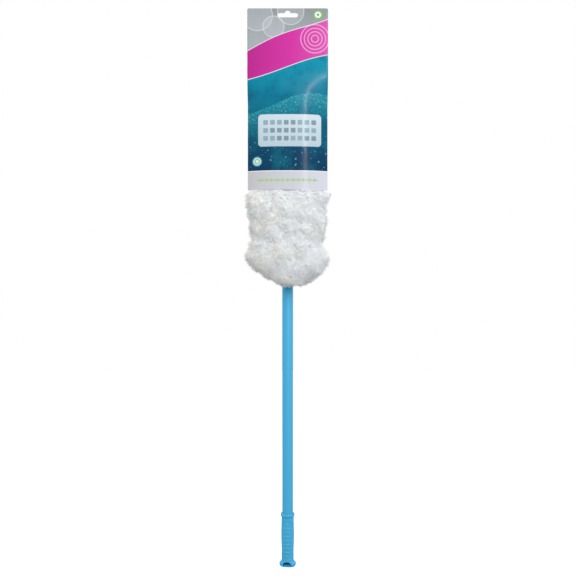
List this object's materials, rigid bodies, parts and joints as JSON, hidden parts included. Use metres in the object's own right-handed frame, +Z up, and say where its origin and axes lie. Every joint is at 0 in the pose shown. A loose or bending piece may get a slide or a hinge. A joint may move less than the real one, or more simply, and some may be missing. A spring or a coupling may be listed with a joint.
{
  "type": "floor and wall duster",
  "caption": "Flat microfibre duster on a folding telescopic pole, hanging head-up in a printed card sleeve with a euro slot.",
  "frame": {"origin": "top of the euro slot, where a shop hook bears, in the middle of the card's thickness", "axes": "+Z up along the hanging pole, +X to the right seen from the printed front, +Y from the front to the back"},
  "size_m": [0.1724, 0.0628, 1.1107],
  "materials": {
    "printed_card": "printed and glossed",
    "grey_plastic": "fine spark texture",
    "soft_rubber": "smooth",
    "white_cloth": "knitted",
    "lilac_cloth": "woven",
    "white_tape": "woven tape",
    "white_pile": "high fluffy pile",
    "blue_plastic": "satin",
    "blue_paint": "satin paint",
    "bare_steel": "drawn tube",
    "zinc_steel": "zinc plated",
    "white_plastic": "satin"
  },
  "bodies": {
    "sleeve": {"card_sleeve": "printed_card"},
    "head": {"frame_plate": "grey_plastic", "flex_edge_left": "soft_rubber", "flex_edge_right": "soft_rubber", "flex_edge_top": "soft_rubber", "flex_edge_bottom": "soft_rubber", "front_cloth": "white_cloth", "back_cloth": "lilac_cloth", "edge_binding": "white_tape", "cover_pile": "white_pile", "swivel_bracket": "grey_plastic", "bracket_screw_1": "zinc_steel", "bracket_screw_2": "zinc_steel", "bracket_screw_3": "zinc_steel", "bracket_screw_4": "zinc_steel", "fold_pin": "zinc_steel", "fold_pin_cap": "white_plastic"},
    "link": {"swivel_link": "blue_plastic"},
    "handle": {"handle_socket": "blue_plastic", "tilt_pin": "zinc_steel", "tilt_pin_cap": "white_plastic", "socket_screw": "zinc_steel", "inner_tube": "bare_steel", "lock_core": "white_plastic"},
    "lock": {"lock_collar": "white_plastic"},
    "pole": {"mouth_bush": "blue_plastic", "outer_tube": "blue_paint", "grip_sleeve": "blue_plastic"}
  },
  "joints": [
    {"name": "sleeve_slide", "type": "slide", "parent": "sleeve", "child": "head", "axis": [0, 0, -1], "range_m": [0, 0.24]},
    {"name": "handle_fold", "type": "hinge", "parent": "head", "child": "link", "pos_m": [0, 0.02, -0.345], "axis": [1, 0, 0], "range_deg": [0, 150]},
    {"name": "handle_tilt", "type": "hinge", "parent": "link", "child": "handle", "pos_m": [0, 0.02, -0.367], "axis": [0, 1, 0], "range_deg": [-60, 60]},
    {"name": "twist_lock", "type": "hinge", "parent": "handle", "child": "lock", "pos_m": [0, 0.02, -1.0224], "axis": [0, 0, -1], "range_deg": [0, 120]},
    {"name": "pole_extend", "type": "slide", "parent": "lock", "child": "pole", "axis": [0, 0, -1], "range_m": [0, 0.47]}
  ]
}
